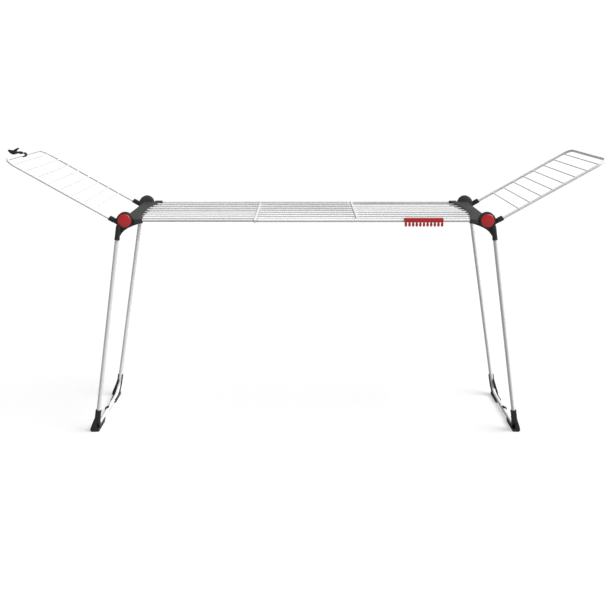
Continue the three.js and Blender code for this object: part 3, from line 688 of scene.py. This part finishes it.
def shoe_shell(flare):
    """Channel round the outside of the bend on a flat ribbed sole, with a flaring fin."""
    channel = LEG_R + SHOE_WALL
    flat = channel - SHOE_CHAMFER
    section = soft([(-channel, flat), (-flat, channel), (flat, channel),
                    (channel, flat), (channel, -SHOE_RIM), (-channel, -SHOE_RIM)], 1.2, 3)
    foot_y = leg_axis_y(BAR_Z)
    top_z = BAR_Z + LEG_BEND + SHOE_UP
    corner = bent_path([
        (-LEG_OFFSET, -leg_axis_y(top_z), top_z), (-LEG_OFFSET, -foot_y, BAR_Z),
        (-LEG_OFFSET, -foot_y + LEG_BEND + SHOE_ALONG, BAR_Z),
    ], LEG_BEND)
    lean = upright_to_leg()
    along = (-foot_y - 8, -foot_y + LEG_BEND + SHOE_ALONG - 6)
    sole_x = (leg_axis_x(0) - channel - 1, leg_axis_x(0) + channel + 2)
    sole = block(*sole_x, *along, TREAD_HEIGHT, FLOOR_BAR_Z, 0.8, 5)

    def fin_x(height, out):
        return leg_axis_x(height) - LEG_R - out
    fin = [(leg_axis_x(86), 86), (fin_x(86, 0), 86)]
    fin += curve(fin[-1], (fin_x(60, flare * 0.35), 60), (fin_x(34, flare * 0.8), 34))
    fin += curve(fin[-1], (fin_x(14, flare * 1.15), 14), (fin_x(6, flare), 6))
    fin += [(fin_x(0, flare - 7), 0.2), (leg_axis_x(0), 0.2)]
    fin_plate = plate(soft(fin, 1.5, 3), -foot_y - FIN_OUT, -foot_y + FIN_IN, "y", 1.6, 3)
    treads = []
    for k in range(TREAD_COUNT):
        y0 = along[0] + 5 + (along[1] - along[0] - 8) * k / TREAD_COUNT
        treads.append(block(sole_x[0] + 2.5, sole_x[1] - 2.5, y0, y0 + TREAD_WIDTH, 0, 3, 0.5, 2))
    shoe = union(
        sweep(section, corner, X_AXIS, ends=0.8),
        moved(sole, lean),
        moved(fin_plate, lean),
        *[moved(tread, lean) for tread in treads],
    )
    half = LEG_ROOM_R - 0.6
    reach = 2 * channel
    open_side = [(-half, -reach), (half, -reach), (half, 0), (-half, 0)]
    ground = [(-600, -400), (200, -400), (200, 0), (-600, 0)]
    return cut(
        shoe,
        moved(plate(ground, -60, 0, "z", ease=0), lean),
        sweep(circle(LEG_ROOM_R, 40), leg_path(LEG_TOP), X_AXIS),
        sweep(open_side, leg_path(LEG_TOP), X_AXIS),
    )


def clip_shell():
    """Snap-on clip round the outer side of the floor bar, with a small ribbed thumb ledge."""
    inner, outer = LEG_ROOM_R, LEG_R + CLIP_WALL
    start, end = CLIP_MOUTH / 2, 2 * math.pi - CLIP_MOUTH / 2
    ring = arc((0, 0), outer, start, end, 36) + arc((0, 0), inner, end, start, 36)
    ledge = soft([(-outer + 1, -2), (-outer - 2.5, 1), (-outer - 2.5, 5), (-outer + 2, 7)], 1.2)
    rib_start, rib_end = 0.48 * math.pi, 0.78 * math.pi
    ribs = [plate(arc((0, 0), outer + 0.5, rib_start, rib_end, 16)
                  + arc((0, 0), outer - 1, rib_end, rib_start, 16), y - 0.9, y + 0.9, "y", ease=0.3)
            for y in (-8, -4, 0, 4, 8)]
    clip = union(
        plate(ring, -CLIP_HALF, CLIP_HALF, "y", ease=0.8),
        plate(ledge, -CLIP_HALF + 4, CLIP_HALF - 4, "y", ease=0.8),
        *ribs,
    )
    return moved(clip, Matrix.Translation((-LEG_OFFSET, 0, BAR_Z)))


# ---- Wing grid -----------------------------------------------------------------------------------

def wing_grid_shell():
    """U-shaped tube with eight wires welded through it, whose rounded ends stand out."""
    inner = -ARM_START - 5
    path = bent_path([
        (inner, -WING_Y, WING_OFFSET), (-WING_LENGTH, -WING_Y, WING_OFFSET),
        (-WING_LENGTH, WING_Y, WING_OFFSET), (inner, WING_Y, WING_OFFSET),
    ], WING_BEND, steps=18)
    shells = [pipe(path, Z_AXIS, WING_TUBE_R, WING_BORE, sides=32)]
    for k in range(WIRE_COUNT):
        x = -WIRE_FIRST - k * WIRE_PITCH
        into_bend = max(0, -x - (WING_LENGTH - WING_BEND))
        reach = WING_Y - (WING_BEND - math.sqrt(WING_BEND ** 2 - into_bend ** 2))
        end_in, end_out = reach + WING_TUBE_R - 1.0, reach + WING_TUBE_R + 1.1
        profile = [(0, -end_out), (WIRE_END_R - 0.8, -end_out + 0.15),
                   (WIRE_END_R - 0.1, -end_out + 0.7), (WIRE_END_R, -end_in),
                   (WIRE_R, -end_in + 0.6)]
        bead = [(WIRE_R, -reach + WING_TUBE_R - 0.8), (WIRE_R + 0.9, -reach + WING_TUBE_R - 0.5),
                (WIRE_R + 0.55, -reach + WING_TUBE_R + 0.5), (WIRE_R, -reach + WING_TUBE_R + 1.2)]
        half = profile + bead
        whole = half + [(r, -y) for r, y in reversed(half)]
        shells.append(turned(whole, x, WING_OFFSET, sides=20))
    return merged(*shells)


# ---- Deck ------------------------------------------------------------------------------------------

def guide_bar_shell():
    """Bar across the tubes, with a collar round each bore that is almost flush with it."""
    far_end = -ROD_YS[-1] - 9
    x1 = TUBE_END - TUBE_PROUD
    x0 = x1 - GUIDE_WIDTH
    outline = soft([(x0, far_end), (x1, far_end), (x1, RAIL_Y), (x0, RAIL_Y)], 2.5)
    rounds = [pipe_x(RAIL_SLEEVE_R, 0, x0, x1, RAIL_Y, ROD_Z, 48, lip=1)]
    through = (x0 - OVERCUT, x1 + OVERCUT)
    bores = [pipe_x(RAIL_R + SOCKET_FIT, 0, *through, RAIL_Y, ROD_Z, 40)]
    for y in ROD_YS:
        rounds += [pipe_x(TUBE_R + GUIDE_COLLAR, 0, x0 - 0.2, x1 + 0.2, end * y, ROD_Z, 32, lip=0.6)
                   for end in (-1, 1)]
        bores.append(pipe_x(TUBE_R + TUBE_FIT, 0, *through, y, ROD_Z, 32))
        bores.append(pipe_x(TUBE_R + RUNNING_FIT, 0, *through, -y, ROD_Z, 32))
    low, high = ROD_Z - GUIDE_HALF_HEIGHT, ROD_Z + GUIDE_HALF_HEIGHT
    bar = plate(outline, low, high, "z", ease=1.4, segments=3)
    return cut(union(bar, *rounds), *bores)


def swaged(radius, bore, x0, x1, y):
    """Tube whose free end is swaged in, with a rolled bead before it."""
    marks = [(x0, radius - 0.4), (x0 + 0.4, radius), (x1 - 24, radius), (x1 - 23, radius + 0.25),
             (x1 - 21.5, radius + 0.3), (x1 - 20, radius + 0.25), (x1 - 19, radius),
             (x1 - 1.2, radius), (x1 - 0.3, radius - 0.35), (x1, radius - 0.7)]
    marks += [(x1, bore), (x0, bore)]
    rings = [[Vector((x, y + u, ROD_Z + v)) for u, v in circle(size, 32)] for x, size in marks]
    return loft(rings, loop=True)


def add_deck(side, thick, thin):
    place = side_frame(side)
    stand_for(f"{side}_{thick}_outer_rail",
              swaged(RAIL_R, RAIL_BORE, RAIL_START + END_GAP, TUBE_END, RAIL_Y), place)
    stand_for(f"{side}_{thin}_inner_rail",
              pipe_x(INNER_RAIL_R, INNER_RAIL_BORE, RAIL_START + END_GAP, INNER_END, -RAIL_Y, ROD_Z),
              place)
    for k, y in enumerate(ROD_YS, 1):
        start = SOCKET_START + END_GAP
        stand_for(f"{side}_{thick}_outer_tube_{k}",
                  swaged(TUBE_R, TUBE_BORE, start, TUBE_END, y), place)
        stand_for(f"{side}_{thin}_inner_rod_{k}",
                  pipe_x(INNER_ROD_R, 0, start, INNER_END, -y, ROD_Z, 24, lip=0.8), place)
    stand_for(f"{side}_guide_bar", guide_bar_shell(), place)


# ---- Latch and comb --------------------------------------------------------------------------------

def latch_shell():
    """Swivelling ring with a hooked claw, drawn round the end bar."""
    hook = [(-7, 3), (-14, 7.5), (-24, 3)]
    hook += curve((-24, 3), (-33, -2), (-36, -8))
    hook += curve((-36, -8), (-38, 2), (-31, 12))
    hook += [(-36, 14.5)]
    hook += curve((-36, 14.5), (-46, 4), (-48, -5))
    hook += [(-62, -12), (-69, -14), (-70, -19), (-62, -22)]
    hook += curve((-62, -22), (-48, -27), (-38, -21))
    hook += curve((-38, -21), (-30, -13), (-22, -5))
    hook += [(-9, -3)]
    half, waist = LATCH_HALF, LATCH_WAIST_HALF
    near = [(LATCH_BORE, -half), (LATCH_RING_R - 1.6, -half), (LATCH_RING_R - 0.6, -half + 0.5),
            (LATCH_RING_R, -half + 1.4), (LATCH_RING_R, -waist - 0.5),
            (LATCH_RING_R - LATCH_WAIST_DEPTH, -waist)]
    ring = turned(near + [(r, -y) for r, y in reversed(near)], sides=48, loop=True)
    body = plate(soft(hook, 1.2, 3), -half / 2, half / 2, "y", ease=1.2, segments=3)
    spine = plate(soft([(-12, -4), (-26, -7), (-40, -19), (-58, -19), (-60, -15), (-44, -9), (-26, 1),
                        (-12, 4)], 2), -half / 2 - 1, half / 2 + 1, "y", ease=0.6)
    core = rod_y(LATCH_BORE, -half - 2, half + 2, 48)
    latch = cut(union(body, spine), core)
    return moved(union(ring, latch), Matrix.Translation((-WING_LENGTH, 0, WING_OFFSET)))


def comb_shell():
    """Front plate with keyhole slots, folded over the rail, with rounded teeth."""
    half = COMB_TEETH * COMB_PITCH / 2
    tooth_r = (COMB_PITCH - COMB_SLOT) / 2
    neck = math.sqrt(COMB_HOLE_R ** 2 - (COMB_SLOT / 2) ** 2)
    tooth_end = COMB_BOTTOM + tooth_r
    edge = half - COMB_SLOT / 2
    outline = soft([(edge, 0), (edge, COMB_TOP), (-edge, COMB_TOP), (-edge, 0)], 2.2)[3:-2]
    for tooth in range(COMB_TEETH):
        middle = -half + (tooth + 0.5) * COMB_PITCH
        outline += arc((middle, tooth_end), tooth_r, math.pi, 2 * math.pi, 16)
        if tooth < COMB_TEETH - 1:
            slot = middle + COMB_PITCH / 2
            start = math.atan2(-neck, -COMB_SLOT / 2)
            end = math.atan2(-neck, COMB_SLOT / 2) - 2 * math.pi
            outline += arc((slot, COMB_HOLE_Z), COMB_HOLE_R, start, end, 20)
    front = plate(outline, COMB_FRONT - COMB_WALL, COMB_FRONT, "y", ease=0.9, segments=3)
    top = block(-edge, edge, COMB_BACK, COMB_FRONT - 0.6, COMB_TOP - COMB_ROOF, COMB_TOP, 0.7, 2)
    back = block(-edge, edge, COMB_BACK, COMB_BACK + 2.6, COMB_LIP, COMB_TOP - 1, 0.9, 1.2)
    shells = [front, top, back]
    for tooth in range(COMB_TEETH):
        middle = -half + (tooth + 0.5) * COMB_PITCH
        shells.append(block(middle - COMB_RIB_HALF, middle + COMB_RIB_HALF,
                            COMB_FRONT - COMB_WALL - 1.8, COMB_FRONT - 1,
                            tooth_end - 1, COMB_TOP - 4, 0.6, 0.8))
    return union(*shells)


# ---- Assembly ----------------------------------------------------------------------------------------

def add_half(side, front_sign):
    """One half of the rack. front_sign is -1 where the half's own -y is the rack's front."""
    thick, thin = ("rear", "front") if front_sign < 0 else ("front", "rear")
    stand_for(f"{side}_head", head_shell(), side_frame(side))
    add_deck(side, thick, thin)
    stand_for(f"{side}_wing_grid", wing_grid_shell(), wing_frame(side))
    leg_tube = pipe(leg_path(LEG_TOP), X_AXIS, LEG_R, LEG_BORE, 40)
    stand_for(f"{side}_leg_frame", leg_tube, leg_frame(side))
    stand_for(f"{side}_floor_bar_clip", clip_shell(), leg_frame(side))
    shells = {
        "hinge_pin": hub_pin_shell(), "wing_arm": wing_arm_shell(),
        "leg_bracket": leg_bracket_shell(), "shoe": shoe_shell(FLARES[side]),
    }
    holders = {"hinge_pin": side_frame, "wing_arm": wing_frame, "leg_bracket": leg_frame,
               "shoe": leg_frame, "hub_cap": leg_frame}
    for end in (-1, 1):
        place = "front" if end == front_sign else "rear"
        shells["hub_cap"] = red_cap_shell() if place == "front" else dark_cap_shell()
        for kind, shell in shells.items():
            stand_for(f"{side}_{place}_{kind}", shell, holders[kind](side) @ at_end(end))


add_half("left", -1)
add_half("right", 1)
stand_for("wing_latch", latch_shell(), wing_frame("left"))
comb_low, comb_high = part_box("small_items_comb")
comb_x = (HUBS["right"].x - (comb_low.x + comb_high.x) / 2) / MM
stand_for("small_items_comb", comb_shell(), side_frame("right") @ Matrix.Translation((comb_x, 0, 0)))


# ---- Floor and light -----------------------------------------------------------------------------------

def camera_level(nodes, links, given, seen):
    """A value that is one thing to the camera and another to every other ray."""
    path = nodes.new("ShaderNodeLightPath")
    level = nodes.new("ShaderNodeMapRange")
    level.inputs["To Min"].default_value = given
    level.inputs["To Max"].default_value = seen
    links.new(path.outputs["Is Camera Ray"], level.inputs["Value"])
    return level.outputs["Result"]


def add_floor(shown, glow, given):
    """Sweep of white floor. The camera sees faint shadows; other rays see a grey floor."""
    reach = 30
    mesh = bpy.data.meshes.new("floor")
    mesh.from_pydata([(-reach, -reach, 0), (reach, -reach, 0), (reach, reach, 0), (-reach, reach, 0)],
                     [], [(0, 1, 2, 3)])
    floor = bpy.data.objects.new("floor", mesh)
    bpy.context.scene.collection.objects.link(floor)
    material = bpy.data.materials.new("floor_white")
    material.use_nodes = True
    nodes, links = material.node_tree.nodes, material.node_tree.links
    shader = nodes["Principled BSDF"]
    shader.inputs["Roughness"].default_value = 0.9
    shader.inputs["Specular IOR Level"].default_value = 0.0
    links.new(camera_level(nodes, links, given, shown), shader.inputs["Base Color"])
    shader.inputs["Emission Color"].default_value = (1, 1, 1, 1)
    links.new(camera_level(nodes, links, 0.0, glow), shader.inputs["Emission Strength"])
    mesh.materials.append(material)


def add_world(seen, given):
    """White to the camera; a softer grey as light."""
    world = bpy.data.worlds.new("world")
    world.use_nodes = True
    nodes, links = world.node_tree.nodes, world.node_tree.links
    back = nodes["Background"]
    back.inputs["Color"].default_value = (1, 1, 1, 1)
    links.new(camera_level(nodes, links, given, seen), back.inputs["Strength"])
    bpy.context.scene.world = world


def add_sun(name, direction, strength, angle):
    data = bpy.data.lights.new(name, "SUN")
    data.energy = strength
    data.angle = math.radians(angle)
    sun = bpy.data.objects.new(name, data)
    sun.rotation_euler = Vector(direction).to_track_quat("-Z", "Y").to_euler()
    bpy.context.scene.collection.objects.link(sun)


add_floor(shown=0.45, glow=0.50, given=0.32)
add_world(seen=1.0, given=0.27)
add_sun("key_light", direction=(-0.9, 0.30, -1.0), strength=4.1, angle=50)
bpy.context.scene.view_settings.view_transform = "Standard"
